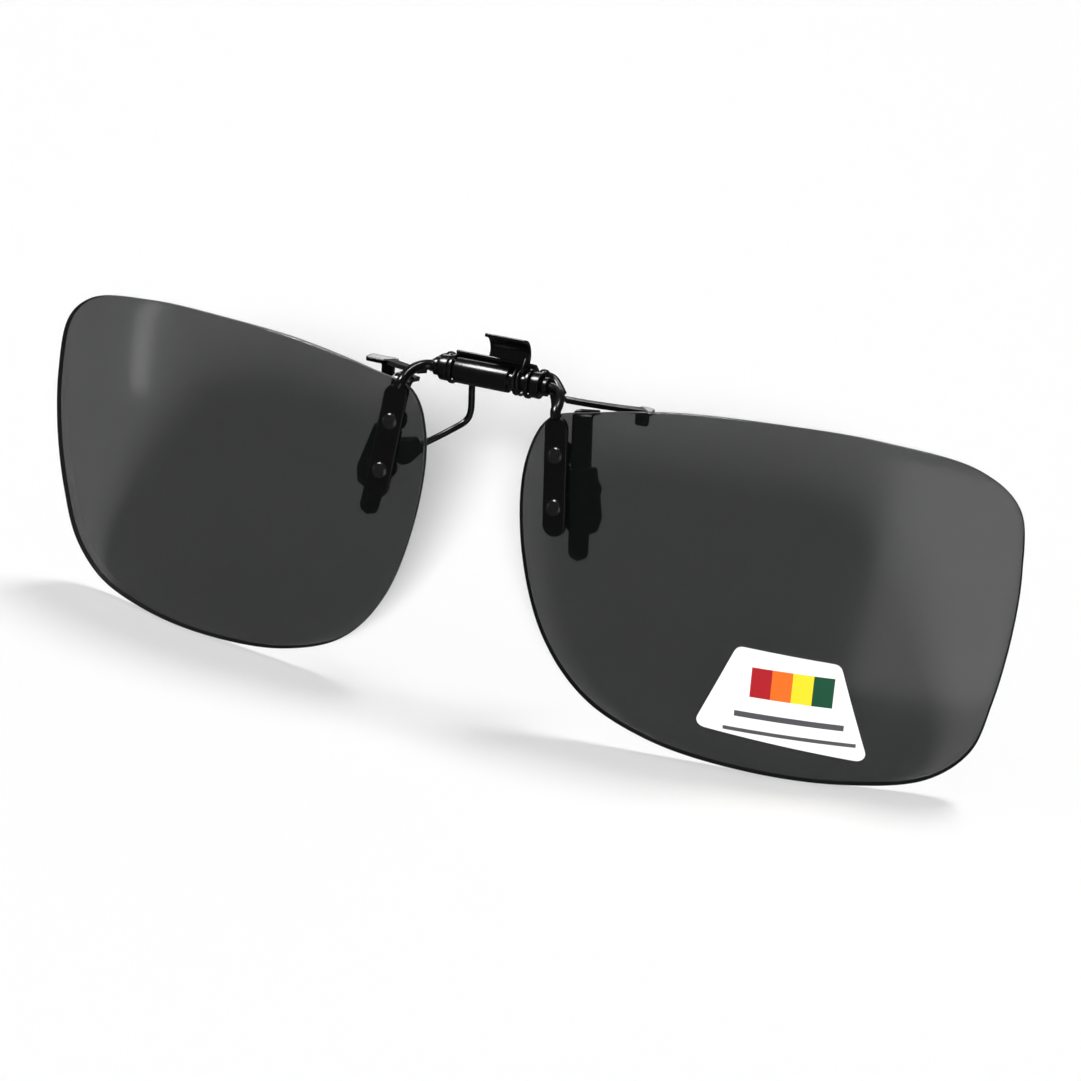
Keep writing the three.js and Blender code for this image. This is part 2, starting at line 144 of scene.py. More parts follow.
# Room and camera
FLOOR_SIZE = 10.0
ROOM_GLOW = 0.11
REFLECTION_AIM = (0.02, 0, -0.02)
CAMERA_AZIMUTH, CAMERA_ELEVATION, CAMERA_ROLL = 21.54, 21.61, 4.27
CAMERA_DISTANCE, CAMERA_TARGET = 263.8, (9.86, -5.0, -17.53)
CAMERA_LENS, CAMERA_SENSOR = 73.1, 36.0

# A colour Mix node's sockets, by number, because the node's other data types reuse their names
MIX_FIRST, MIX_SECOND, MIX_RESULT = 6, 7, 2


# ---------------------------------------------------------------- placing

def turned(about_x, about_y, about_z):
    """A turn about X, then Y, then Z, as a 3 by 3 matrix."""
    cx, sx = math.cos(about_x), math.sin(about_x)
    cy, sy = math.cos(about_y), math.sin(about_y)
    cz, sz = math.cos(about_z), math.sin(about_z)
    x = np.array([[1, 0, 0], [0, cx, -sx], [0, sx, cx]])
    y = np.array([[cy, 0, sy], [0, 1, 0], [-sy, 0, cy]])
    z = np.array([[cz, -sz, 0], [sz, cz, 0], [0, 0, 1]])
    return z @ y @ x


def placed(points, origin, turn):
    """Points turned about zero, then moved by origin."""
    return points @ np.asarray(turn).T + np.asarray(origin, float)


def on_lens(x, z, lift):
    """Lens front at x towards the temple and z up: a sphere of LENS_RADIUS, lifted along its radius."""
    depth = np.sqrt(LENS_RADIUS ** 2 - x ** 2 - z ** 2)
    scale = 1 + lift / LENS_RADIUS
    local = np.stack([x * scale, LENS_RADIUS - depth * scale, z * scale], axis=-1)
    return placed(local, LENS_CENTRE, turned(0, 0, LENS_WRAP))


def rim_frame():
    """Origin and turn of the lens plate: it stands off the lens front and leans to the nose."""
    x, z = PLATE_CENTRE
    pitch = -math.asin(z / LENS_RADIUS)
    yaw = math.asin(x / LENS_RADIUS / math.cos(pitch))
    turn = turned(0, 0, LENS_WRAP) @ turned(pitch, 0, yaw) @ turned(0, -PLATE_LEAN, 0)
    return on_lens(np.float64(x), np.float64(z), 0.0), turn


# ---------------------------------------------------------------- curves

def smooth_curve(points, count, closed=False):
    """Centripetal Catmull-Rom through the points, then spaced evenly along its length."""
    p = np.asarray(points, float)
    if closed:
        p = np.vstack([p[-1], p, p[0], p[1]])
    else:
        p = np.vstack([2 * p[0] - p[1], p, 2 * p[-1] - p[-2]])
    p0, p1, p2, p3 = p[:-3], p[1:-2], p[2:-1], p[3:]
    t1 = np.linalg.norm(p1 - p0, axis=1) ** 0.5
    t2 = t1 + np.linalg.norm(p2 - p1, axis=1) ** 0.5
    t3 = t2 + np.linalg.norm(p3 - p2, axis=1) ** 0.5
    t1, t2, t3 = (t[:, None, None] for t in (t1, t2, t3))
    p0, p1, p2, p3 = (q[:, None, :] for q in (p0, p1, p2, p3))
    t = t1 + (t2 - t1) * np.linspace(0, 1, 24, endpoint=False)[None, :, None]
    a1 = (t1 - t) / t1 * p0 + t / t1 * p1
    a2 = (t2 - t) / (t2 - t1) * p1 + (t - t1) / (t2 - t1) * p2
    a3 = (t3 - t) / (t3 - t2) * p2 + (t - t2) / (t3 - t2) * p3
    b1 = (t2 - t) / t2 * a1 + t / t2 * a2
    b2 = (t3 - t) / (t3 - t1) * a2 + (t - t1) / (t3 - t1) * a3
    dense = ((t2 - t) / (t2 - t1) * b1 + (t - t1) / (t2 - t1) * b2).reshape(-1, p.shape[1])
    dense = np.vstack([dense, p[-2][None] if not closed else dense[:1]])
    reach = np.concatenate([[0], np.cumsum(np.linalg.norm(np.diff(dense, axis=0), axis=1))])
    wanted = np.linspace(0, reach[-1], count, endpoint=not closed)
    return np.stack([np.interp(wanted, reach, dense[:, k]) for k in range(dense.shape[1])], axis=1)


def rounded_outline(corners, radii, steps=10):
    """A polygon with each corner turned into an arc that touches both of its sides."""
    c = np.asarray(corners, float)
    before, after = np.roll(c, 1, axis=0) - c, np.roll(c, -1, axis=0) - c
    before /= np.linalg.norm(before, axis=1)[:, None]
    after /= np.linalg.norm(after, axis=1)[:, None]
    half = np.arccos(np.clip((before * after).sum(1), -1, 1)) / 2
    radii = np.broadcast_to(np.asarray(radii, float), half.shape)
    bisector = before + after
    bisector /= np.linalg.norm(bisector, axis=1)[:, None]
    centre = c + bisector * (radii / np.sin(half))[:, None]
    start = c + before * (radii / np.tan(half))[:, None] - centre
    end = c + after * (radii / np.tan(half))[:, None] - centre
    sweep = np.pi - 2 * half
    t, sweep = np.linspace(0, 1, steps)[None, :, None], sweep[:, None, None]
    arcs = np.sin((1 - t) * sweep) * start[:, None] + np.sin(t * sweep) * end[:, None]
    return (centre[:, None] + arcs / np.sin(sweep)).reshape(-1, 2)


def resampled(outline, count):
    """A closed outline with its points spaced evenly."""
    loop = np.vstack([outline, outline[:1]])
    reach = np.concatenate([[0], np.cumsum(np.linalg.norm(np.diff(loop, axis=0), axis=1))])
    wanted = np.linspace(0, reach[-1], count, endpoint=False)
    return np.stack([np.interp(wanted, reach, loop[:, k]) for k in (0, 1)], axis=1)


# ---------------------------------------------------------------- surfaces

def shell(rings, start="cap", end="cap"):
    """Vertices and faces of a surface whose rings are closed loops.

    start and end are "cap" for a flat lid, "point" for a ring that has shrunk to a point, or "join" for
    a profile that closes on itself.
    """
    rows, cols = rings.shape[:2]
    first, last = (1 if start == "point" else 0), (rows - 1 if end == "point" else rows)
    body = rings[first:last]
    verts = body.reshape(-1, 3)
    r = np.arange(len(body) if start == "join" else len(body) - 1)[:, None] * cols
    c = np.arange(cols)[None, :]
    right = (c + 1) % cols
    below = (r + cols) % (len(body) * cols)
    faces = np.stack([r + c, r + right, below + right, below + c], axis=-1).reshape(-1, 4).tolist()
    lips = [] if start == "join" else [(start, np.arange(cols)[::-1], rings[0]),
                                       (end, np.arange(cols) + (len(body) - 1) * cols, rings[-1])]
    for kind, loop, ring in lips:
        if kind == "cap":
            faces.append(loop.tolist())
        else:
            tip = len(verts)
            verts = np.vstack([verts, ring.mean(0)])
            faces += np.stack([loop, np.roll(loop, -1), np.full(cols, tip)], axis=1).tolist()
    return verts, faces


def volume(verts, faces):
    """Six times the volume inside, from fans of triangles; negative when the shell is inside out."""
    total = 0.0
    quads = np.array([f for f in faces if len(f) == 4])
    for parts in [quads[:, [0, 1, 2]], quads[:, [0, 2, 3]]] if len(quads) else []:
        a, b, c = (verts[parts[:, k]] for k in range(3))
        total += (a * np.cross(b, c)).sum()
    for face in (f for f in faces if len(f) != 4):
        fan = verts[face]
        total += (fan[0] * np.cross(fan[1:-1], fan[2:])).sum()
    return total


def lathe(profile, count=32, closed=True):
    """A profile of (along X, radius) turned about the X axis."""
    p = np.asarray(profile, float)
    angle = np.linspace(0, 2 * np.pi, count, endpoint=False)
    along, radius = np.repeat(p[:, :1], count, 1), p[:, 1:]
    rings = np.stack([along, radius * np.cos(angle), radius * np.sin(angle)], axis=-1)
    return shell(rings, "join", "join") if closed else shell(rings, "point", "point")


def soft_corners(profile, radius, steps=4):
    """A closed profile with its corners eased, as (along, radius) pairs."""
    return rounded_outline(profile, radius, steps)


def tube(path, radius, across, count=18):
    """A circle carried square to a path, shrinking along a quarter round past each end.

    across is any direction that the path never takes.
    """
    along = np.gradient(path, axis=0)
    along /= np.linalg.norm(along, axis=1)[:, None]
    steps, flatness, least = 5, 0.35, 0.001
    dome = np.linspace(0, np.pi / 2, steps, endpoint=False)
    offset = (radius * flatness * (np.sin(dome) - 1))[:, None]
    taper = np.sin(dome + least)
    shrink = np.concatenate([taper, np.ones(len(path)), taper[::-1]])
    path = np.vstack([path[0] + along[0] * offset, path, path[-1] - along[-1] * offset[::-1]])
    along = np.vstack([np.repeat(along[:1], steps, 0), along, np.repeat(along[-1:], steps, 0)])
    first = np.cross(along, across)
    first /= np.linalg.norm(first, axis=1)[:, None]
    second = np.cross(along, first)
    angle = np.linspace(0, 2 * np.pi, count, endpoint=False)[None, :, None]
    reach = (radius * shrink)[:, None, None]
    return shell(path[:, None] + reach * (first[:, None] * np.cos(angle) + second[:, None] * np.sin(angle)))


def slab(outline, half, edge, crown=0.0, steps=6, count=120):
    """An outline in X and Z made a plate along Y: its edge is a quarter round on each side.

    crown raises the middle of both faces, in rings that shrink towards the outline's centre.
    """
    loop = resampled(np.asarray(outline, float), count)
    ahead = np.roll(loop, -1, axis=0) - np.roll(loop, 1, axis=0)
    inward = np.stack([-ahead[:, 1], ahead[:, 0]], axis=1) / np.linalg.norm(ahead, axis=1)[:, None]
    centre = loop.mean(0)
    if ((centre - loop) * inward).sum() < 0:
        inward = -inward
    bend = np.linspace(0, np.pi / 2, steps)
    rim = [(loop + inward * (edge * (1 - math.cos(b))), half - edge + edge * math.sin(b)) for b in bend]
    inner = rim[-1][0]
    lids = [(centre + (inner - centre) * k, half + crown * (1 - k ** 2)) for k in (0.85, 0.6, 0.3)]
    side = rim + lids
    rings = [np.stack([xz[:, 0], np.full(count, -y), xz[:, 1]], axis=1) for xz, y in side[::-1]]
    rings += [np.stack([xz[:, 0], np.full(count, y), xz[:, 1]], axis=1) for xz, y in side]
    return shell(np.array(rings))


def strip(middle, normal, centre_x, half_width, half, edge=0.12, steps=3):
    """A sheet that runs along a path in Y and Z and spans X: a rounded rectangle carried along it.

    normal is the sheet's upper side at each station; the ends are eased like the edges.
    """
    along = np.gradient(middle, axis=0)
    along /= np.linalg.norm(along, axis=1)[:, None]
    bend = np.linspace(0, np.pi / 2, steps + 1)
    n = len(middle)
    half_width = np.broadcast_to(half_width, n)
    centre_x = np.broadcast_to(centre_x, n)
    first = middle[0] + along[0] * edge
    last = middle[-1] - along[-1] * edge
    ends = np.sin(bend)[::-1]
    path = np.vstack([first - along[0] * edge * ends[:, None], middle[1:-1],
                      last + along[-1] * edge * ends[::-1, None]])
    inset = np.concatenate([edge * (1 - np.cos(bend[::-1])), np.zeros(n - 2), edge * (1 - np.cos(bend))])

    def with_ends(values):
        first_rows, last_rows = (np.repeat(end, steps + 1, 0) for end in (values[:1], values[-1:]))
        return np.concatenate([first_rows, values[1:-1], last_rows])

    normal, width, shift = with_ends(normal), with_ends(half_width) - inset, with_ends(centre_x)
    thick = half - inset
    corner = np.minimum(edge, np.minimum(width, thick)) * 0.98
    across, up = [], []
    for quarter, (sx, sy) in enumerate([(1, 1), (-1, 1), (-1, -1), (1, -1)]):
        angle = bend + quarter * np.pi / 2
        across.append(sx * (width - corner)[:, None] + corner[:, None] * np.cos(angle))
        up.append(sy * (thick - corner)[:, None] + corner[:, None] * np.sin(angle))
    across, up = np.concatenate(across, 1), np.concatenate(up, 1)
    x = shift[:, None] + across
    yz = path[:, None] + normal[:, None] * up[..., None]
    return shell(np.concatenate([x[..., None], yz], axis=-1))


# ---------------------------------------------------------------- meshes

def add_piece(name, parts, material, body, nodes, sign=1.0, smooth=40):
    """Joins parts, each (vertices in mm, faces), into one object that rides on a body and stands for nodes.

    body is None for a piece that is left without a body.
    """
    verts, faces = [], []
    for part_verts, part_faces in parts:
        part_verts = part_verts * np.array([sign, 1, 1])
        if volume(part_verts, part_faces) < 0:
            part_faces = [f[::-1] for f in part_faces]
        start = sum(len(v) for v in verts)
        verts.append(part_verts)
        faces += [[i + start for i in f] for f in part_faces]
    mesh = bpy.data.meshes.new(name)
    mesh.from_pydata((np.vstack(verts) * MM).tolist(), [], faces)
    mesh.update()
    mesh.polygons.foreach_set("use_smooth", np.ones(len(mesh.polygons), bool))
    mesh.set_sharp_from_angle(angle=math.radians(smooth))
    mesh.materials.append(material)
    piece = bpy.data.objects.new(name, mesh)
    bpy.context.scene.collection.objects.link(piece)
    if body:
        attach(piece, body)
    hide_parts(*nodes)
    return piece


# ---------------------------------------------------------------- materials

def new_group(name, inputs, outputs):
    """An empty shader node group with named sockets, each (name, type, default)."""
    tree = bpy.data.node_groups.new(name, "ShaderNodeTree")
    for socket_name, kind, default in inputs:
        socket = tree.interface.new_socket(socket_name, in_out="INPUT", socket_type=kind)
        if default is not None:
            socket.default_value = default
    for socket_name, kind in outputs:
        tree.interface.new_socket(socket_name, in_out="OUTPUT", socket_type=kind)
    return tree, tree.nodes.new("NodeGroupInput"), tree.nodes.new("NodeGroupOutput")


def add_node(tree, kind, links=None, **values):
    """A node with its settings; links maps an input's name or number to a socket or a plain value."""
    node = tree.nodes.new(kind)
    for key, value in values.items():
        setattr(node, key, value)
    for key, source in (links or {}).items():
        if hasattr(source, "is_output"):
            tree.links.new(source, node.inputs[key])
        else:
            node.inputs[key].default_value = source
    return node


def handling_marks():
    """Soft smudges, fine grain and sparse dust over a surface, from noise at three scales."""
    tree, given, result = new_group(
        "handling_marks",
        [("Vector", "NodeSocketVector", None), ("Smudge Scale", "NodeSocketFloat", 180.0),
         ("Grain Scale", "NodeSocketFloat", 4000.0), ("Dust Cover", "NodeSocketFloat", 0.3)],
        [("Smudge", "NodeSocketFloat"), ("Grain", "NodeSocketFloat"), ("Dust", "NodeSocketFloat")])
    smudge = add_node(tree, "ShaderNodeTexNoise", {
        "Vector": given.outputs["Vector"], "Scale": given.outputs["Smudge Scale"], "Detail": 4.0,
        "Roughness": 0.6, "Distortion": 0.7})
    grain = add_node(tree, "ShaderNodeTexNoise", {
        "Vector": given.outputs["Vector"], "Scale": given.outputs["Grain Scale"], "Detail": 3.0})
    specks = add_node(tree, "ShaderNodeTexVoronoi", {
        "Vector": given.outputs["Vector"], "Scale": 1500.0, "Randomness": 1.0})
    near = add_node(tree, "ShaderNodeMapRange", {
        "Value": specks.outputs["Distance"], "From Min": 0.16, "From Max": 0.05})
    patch = add_node(tree, "ShaderNodeMapRange", {
        "Value": smudge.outputs["Fac"], "From Min": 0.55, "From Max": 0.75})
    dust = add_node(tree, "ShaderNodeMath", {0: near.outputs["Result"], 1: patch.outputs["Result"]},
                    operation="MULTIPLY")
    cover = add_node(tree, "ShaderNodeMath", {0: dust.outputs["Value"], 1: given.outputs["Dust Cover"]},
                     operation="MULTIPLY")
    tree.links.new(smudge.outputs["Fac"], result.inputs["Smudge"])
    tree.links.new(grain.outputs["Fac"], result.inputs["Grain"])
    tree.links.new(cover.outputs["Value"], result.inputs["Dust"])
    return tree


MARKS = handling_marks()


def finish_material(name, colour, dust_colour, rough, bump, metallic=0.0, specular=0.5,
                    smudge_scale=180.0, grain_scale=4000.0, dust=0.3, alpha=1.0):
    """A finish whose colour, roughness and relief vary with handling marks; rough is (least, most)."""
    smoothest, roughest = rough
    material = bpy.data.materials.new(name)
    material.use_nodes = True
    tree = material.node_tree
    shader = tree.nodes["Principled BSDF"]
    place = add_node(tree, "ShaderNodeTexCoord")
    marks = add_node(tree, "ShaderNodeGroup", node_tree=MARKS)
    tree.links.new(place.outputs["Object"], marks.inputs["Vector"])
    for key, value in (("Smudge Scale", smudge_scale), ("Grain Scale", grain_scale), ("Dust Cover", dust)):
        marks.inputs[key].default_value = value
    mix = add_node(tree, "ShaderNodeMix", {"Factor": marks.outputs["Dust"]}, data_type="RGBA")
    mix.inputs[MIX_FIRST].default_value = (*colour, 1)
    mix.inputs[MIX_SECOND].default_value = (*dust_colour, 1)
    tree.links.new(mix.outputs[MIX_RESULT], shader.inputs["Base Color"])
    spread = add_node(tree, "ShaderNodeMapRange", {
        "Value": marks.outputs["Smudge"], "From Min": 0.3, "From Max": 0.7,
        "To Min": smoothest, "To Max": roughest})
    tree.links.new(spread.outputs["Result"], shader.inputs["Roughness"])
    relief = add_node(tree, "ShaderNodeBump", {
        "Height": marks.outputs["Grain"], "Strength": bump, "Distance": 0.0001})
    tree.links.new(relief.outputs["Normal"], shader.inputs["Normal"])
    shader.inputs["Metallic"].default_value = metallic
    shader.inputs["Specular IOR Level"].default_value = specular
    shader.inputs["Alpha"].default_value = alpha
    return material


def sticker_print():
    """White film with four plain colour bars and two grey rules, laid out in the sticker's own UV map."""
    material = finish_material("printed_film", (0.55, 0.55, 0.54), (0.35, 0.35, 0.35), (0.28, 0.42), 0.05,
                               smudge_scale=120.0, grain_scale=2500.0, dust=0.05)
    tree = material.node_tree
    shader = tree.nodes["Principled BSDF"]
    uv = add_node(tree, "ShaderNodeUVMap", uv_map="sticker_uv")
    split = add_node(tree, "ShaderNodeSeparateXYZ", {"Vector": uv.outputs["UV"]})
    u, v = split.outputs["X"], split.outputs["Y"]

    def between(value, low, high):
        above = add_node(tree, "ShaderNodeMath", {0: value, 1: low}, operation="GREATER_THAN")
        below = add_node(tree, "ShaderNodeMath", {0: value, 1: high}, operation="LESS_THAN")
        return add_node(tree, "ShaderNodeMath", {0: above.outputs[0], 1: below.outputs[0]},
                        operation="MULTIPLY").outputs[0]

    colour = shader.inputs["Base Color"].links[0].from_socket
    bar_bottom, bar_top, rule_grey = 0.52, 0.82, (0.05, 0.05, 0.055)
    bars = [(0.30, 0.42, (0.26, 0.004, 0.008)), (0.42, 0.54, (0.55, 0.09, 0.004)),
            (0.54, 0.66, (0.56, 0.42, 0.006)), (0.66, 0.78, (0.003, 0.045, 0.02))]
    rules = [(0.22, 0.86, 0.30, 0.36), (0.16, 0.94, 0.14, 0.18)]
    boxes = [(low, high, bar_bottom, bar_top, tint) for low, high, tint in bars]
    boxes += [(*rule, rule_grey) for rule in rules]
    for left, right, bottom, top, tint in boxes:
        inside = add_node(tree, "ShaderNodeMath", {0: between(u, left, right), 1: between(v, bottom, top)},
                          operation="MULTIPLY")
        layer = add_node(tree, "ShaderNodeMix", {"Factor": inside.outputs[0]}, data_type="RGBA")
        tree.links.new(colour, layer.inputs[MIX_FIRST])
        layer.inputs[MIX_SECOND].default_value = (*tint, 1)
        colour = layer.outputs[MIX_RESULT]
    tree.links.new(colour, shader.inputs["Base Color"])
    return material


ENAMEL = finish_material("black_enamel", (0.0012, 0.0012, 0.0014), (0.02, 0.02, 0.02), (0.16, 0.28), 0.06,
                         specular=0.3, dust=0.3)
RIVET_BLACK = finish_material("black_plated_rivet", (0.006, 0.006, 0.0065), (0.03, 0.03, 0.03), (0.14, 0.26),
                              0.06, metallic=0.3, specular=0.5, smudge_scale=400.0)
SPRING_STEEL = finish_material("blackened_spring_wire", (0.02, 0.02, 0.021), (0.05, 0.05, 0.05), (0.2, 0.34),
                               0.08, metallic=0.9, smudge_scale=500.0)
RUBBER = finish_material("dipped_rubber", (0.0012, 0.0012, 0.0012), (0.02, 0.02, 0.02), (0.5, 0.7), 0.4,
                         specular=0.2, smudge_scale=260.0, grain_scale=5200.0, dust=0.4)
TINT = finish_material("tinted_lens", (0.0014, 0.0021, 0.0019), (0.05, 0.05, 0.05), (0.1, 0.17), 0.0,
                       specular=0.4, smudge_scale=60.0, dust=0.08, alpha=0.72)
GROUND_EDGE = finish_material("ground_lens_edge", (0.006, 0.007, 0.007), (0.05, 0.05, 0.05), (0.3, 0.45),
                              0.1, specular=0.4)
FILM = sticker_print()


# ---------------------------------------------------------------- lens frame

def lens(side, sign):
    """Rings drawn from the middle out to the outline on the front, round the eased rim, and back behind."""
    outline = smooth_curve(LENS_OUTLINE, 220, closed=True)
    ease = LENS_EASE
    rings = []
    grow = np.linspace(0, 1, 13)[1:]
    reach = 1 - ease / LENS_REACH
    for k in np.concatenate([[0.0], grow * reach]):
        rings.append((outline * k, 0.0))
    for b in np.linspace(0, np.pi / 2, 5)[1:]:
        rings.append((outline * (reach + (1 - reach) * math.sin(b)), -ease * (1 - math.cos(b))))
    for b in np.linspace(np.pi / 2, 0, 5):
        rings.append((outline * (reach + (1 - reach) * math.sin(b)),
                      -LENS_THICKNESS + ease * (1 - math.cos(b))))
    for k in (grow * reach)[-2::-1]:
        rings.append((outline * k, -LENS_THICKNESS))
    rings.append((outline * 0.0, -LENS_THICKNESS))
    grid = np.array([on_lens(xz[:, 0], xz[:, 1], lift) for xz, lift in rings])
    piece = add_piece(f"lens_{side}_clear", [shell(grid, "point", "point")], TINT, "lens_frame",
                      [f"lens_{side}"], sign, smooth=60)
    piece.data.materials.append(GROUND_EDGE)
    normals = np.zeros(len(piece.data.polygons) * 3)
    piece.data.polygons.foreach_get("normal", normals)
    facing = np.abs(normals.reshape(-1, 3)[:, 1])
    piece.data.polygons.foreach_set("material_index", (facing < RIM_FACING).astype(np.int32))


def plate_outline():
    """A rectangle whose corners are almost half its width in radius, so that its ends are round."""
    r, reach = PLATE_WIDTH / 2, PLATE_LENGTH / 2
    return rounded_outline([(-r, -reach), (r, -reach), (r, reach), (-r, reach)], r * 0.97, 16)


def lens_fixings(side, sign):
    """The lens plate, and at each height a turned rivet with a quarter-round head and a washer behind."""
    origin, turn = rim_frame()
    verts, faces = slab(plate_outline(), PLATE_THICKNESS / 2, PLATE_EASE)
    verts = placed(verts + np.array([0, -SEAT_GAP - PLATE_THICKNESS / 2, 0]), origin, turn)
    add_piece(f"lens_plate_{side}_finished", [(verts, faces)], ENAMEL, "lens_frame",
              [f"lens_plate_{side}"], sign)
    front = -(SEAT_GAP + PLATE_THICKNESS + RIVET_LIFT)
    back, shank_radius = LENS_THICKNESS + FIT_GAP, RIVET_SHANK_RADIUS
    dome = np.linspace(0, np.pi / 2, 9)
    head = np.stack([front - RIVET_DOME * np.cos(dome), RIVET_HEAD_RADIUS * np.sin(dome)], axis=1)
    shank = [(front + 0.03, 1.0), (front + 0.03, shank_radius),
             (back + 0.4, shank_radius), (back + 0.4, 0.85)]
    tail = [(back + 0.52, 0.8), (back + 0.6, 0.6), (back + 0.62, 0.0)]
    rivet = lathe(np.vstack([head, shank, tail]), 28, closed=False)
    ring = lathe(soft_corners([(0, WASHER_BORE), (WASHER_THICKNESS, WASHER_BORE),
                               (WASHER_THICKNESS, WASHER_RADIUS), (0, WASHER_RADIUS)], 0.07), 32)
    upright = turned(0, 0, math.pi / 2)
    for level, height in RIVET_HEIGHTS.items():
        for kind, (v, f), shift in (("lens_rivet", rivet, 0.0), ("rivet_washer", ring, back)):
            spot = placed(placed(v + np.array([shift, 0, 0]), (0, 0, height), upright), origin, turn)
            add_piece(f"{kind}_{side}_{level}_finished", [(spot, f)], RIVET_BLACK, "lens_frame",
                      [f"{kind}_{side}_{level}"], sign)


def lens_wire():
    """One wire from plate to plate through the barrel, and a collar turned about it at each end."""
    bend = np.array(WIRE_BEND, float)
    left = bend[::-1] * np.array([-1, 1, 1])
    route = np.vstack([left, [(-WIRE_STRAIGHT, 0, 0), (0, 0, 0), (WIRE_STRAIGHT, 0, 0)], bend])
    path = smooth_curve(route, 150)
    add_piece("lens_wire_finished", [tube(path, WIRE_RADIUS, (0, 0.6, -0.8), 22)], ENAMEL, "lens_frame",
              ["lens_wire"])
    start, end = BARREL_HALF + FIT_GAP, BARREL_HALF + FIT_GAP + COLLAR_WIDTH
    ring = soft_corners([(start, BORE_RADIUS), (end, BORE_RADIUS), (end, COLLAR_RADIUS),
                         (start, COLLAR_RADIUS)], 0.1)
    for side, sign in SIDES.items():
        add_piece(f"retaining_collar_{side}_finished", [lathe(ring)], ENAMEL, "lens_frame",
                  [f"retaining_collar_{side}"], sign)


def sticker():
    """The rounded sticker outline shrunk in rings to its middle, each point laid on the lens front."""
    outline = resampled(rounded_outline(STICKER, 1.0, 8), 120)
    centre = outline.mean(0)
    grow = np.linspace(0, 1, 9)
    front = [(centre + (outline - centre) * k, STICKER_LIFT + STICKER_THICKNESS) for k in grow]
    behind = [(centre + (outline - centre) * k, STICKER_LIFT) for k in grow[::-1]]
    rings = front + behind
    grid = np.array([on_lens(xz[:, 0], xz[:, 1], lift) for xz, lift in rings])
    piece = add_piece("sticker_finished", [shell(grid, "point", "point")], FILM, "lens_frame",
                      ["sticker"])
    flat = np.vstack([xz for xz, _ in rings[1:-1]] + [centre, centre])
    low, high = outline.min(0), outline.max(0)
    loops = np.zeros(len(piece.data.loops), np.int32)
    piece.data.loops.foreach_get("vertex_index", loops)
    layer = piece.data.uv_layers.new(name="sticker_uv")
    layer.data.foreach_set("uv", ((flat - low) / (high - low))[loops].astype(np.float32).ravel())


# ---------------------------------------------------------------- clip body

def clip_body():
    """A turned barrel with two necks, and on each side a round arm that starts from a ball on the barrel."""
    half, r, neck, bore = BARREL_HALF, BARREL_RADIUS, NECK_RADIUS, BORE_RADIUS
    corners = [(-half, bore), (-half, r), (LEFT_NECK[0], r), (LEFT_NECK[0], neck), (LEFT_NECK[1], neck),
               (LEFT_NECK[1], r), (RIGHT_NECK[0], r), (RIGHT_NECK[0], neck), (RIGHT_NECK[1], neck),
               (RIGHT_NECK[1], r), (half, r), (half, bore)]
    parts = [lathe(soft_corners(corners, 0.1, 5), 64)]
    path = smooth_curve(ARM_ROUTE, 40)
    ball = np.linspace(0, np.pi, 15)
    profile = KNUCKLE_RADIUS * np.stack([-np.cos(ball), np.sin(ball)], axis=1)
    knuckle = lathe(profile, 28, closed=False)
    for sign in SIDES.values():
        for verts, faces in (tube(path, ARM_RADIUS, (0, 1, 0)), (knuckle[0] + ARM_ROUTE[0], knuckle[1])):
            parts.append((verts * np.array([sign, 1, 1]), faces))
    add_piece("clip_body_finished", parts, ENAMEL, "clip", ["clip_body"])


def top_rest(side, sign):
    """The strip's plan is two easy curves; the end plate and the tab that hooks down are set square to X."""
    turn = turned(0, REST_PITCH, REST_YAW)
    t = np.linspace(0, 1, 24)[:, None]

    def bow(a, b, c):
        a, b, c = (np.array(p, float) for p in (a, b, c))
        return (1 - t) ** 2 * a + 2 * t * (1 - t) * b + t ** 2 * c

    span = REST_LENGTH
    plan = np.vstack([bow((0, -0.6), (span / 2, -1.3), (span, -0.75)),
                      bow((span, 0.75), (span / 2, 0), (0, 0.7))])
    lying = turned(-math.pi / 2, 0, 0)
    verts, faces = slab(plan, SHEET / 2, SHEET_EASE, count=140)
    strip_part = placed(placed(verts, (0, 0, 0), lying), REST_START, turn), faces
    end = placed(np.array([span, 0, 0]), REST_START, turn)
    reach = REST_PLATE + REST_OVERHANG[side]
    x0, y0 = end[0] - REST_PLATE / 2, end[1] - REST_SET_BACK
    corners = [(x0, y0), (x0 + reach, y0), (x0 + reach, y0 + REST_PLATE), (x0, y0 + REST_PLATE)]
    verts, faces = slab(rounded_outline(corners, [0.2, 0.5, 0.6, 0.5], 8), SHEET / 2 - PLATE_TRIM, SHEET_EASE)
    plate_part = placed(verts, (0, 0, end[2]), lying), faces
    wide = (REST_PLATE - 0.2) / 2
    top, bottom = end[2] + SHEET / 2 - PLATE_TRIM, end[2] - SHEET / 2 - TAB_DROP
    mid_x = end[0] - 0.1
    corners = [(mid_x - wide, bottom), (mid_x + wide, bottom), (mid_x + wide, top), (mid_x - wide, top)]
    verts, faces = slab(rounded_outline(corners, [0.3, 0.3, 0.12, 0.12], 8), SHEET / 2, SHEET_EASE)
    tab_part = verts + np.array([0, y0 + SHEET / 2, 0]), faces
    add_piece(f"top_rest_{side}_finished", [strip_part, plate_part, tab_part], ENAMEL, "clip",
              [f"top_rest_{side}"], sign)


def in_prong(part):
    """A part from the prong's own frame, which leans forward and then out to the temple."""
    return placed(part[0], PRONG_TOP, turned(-PRONG_FORWARD, -PRONG_OUT, 0)), part[1]


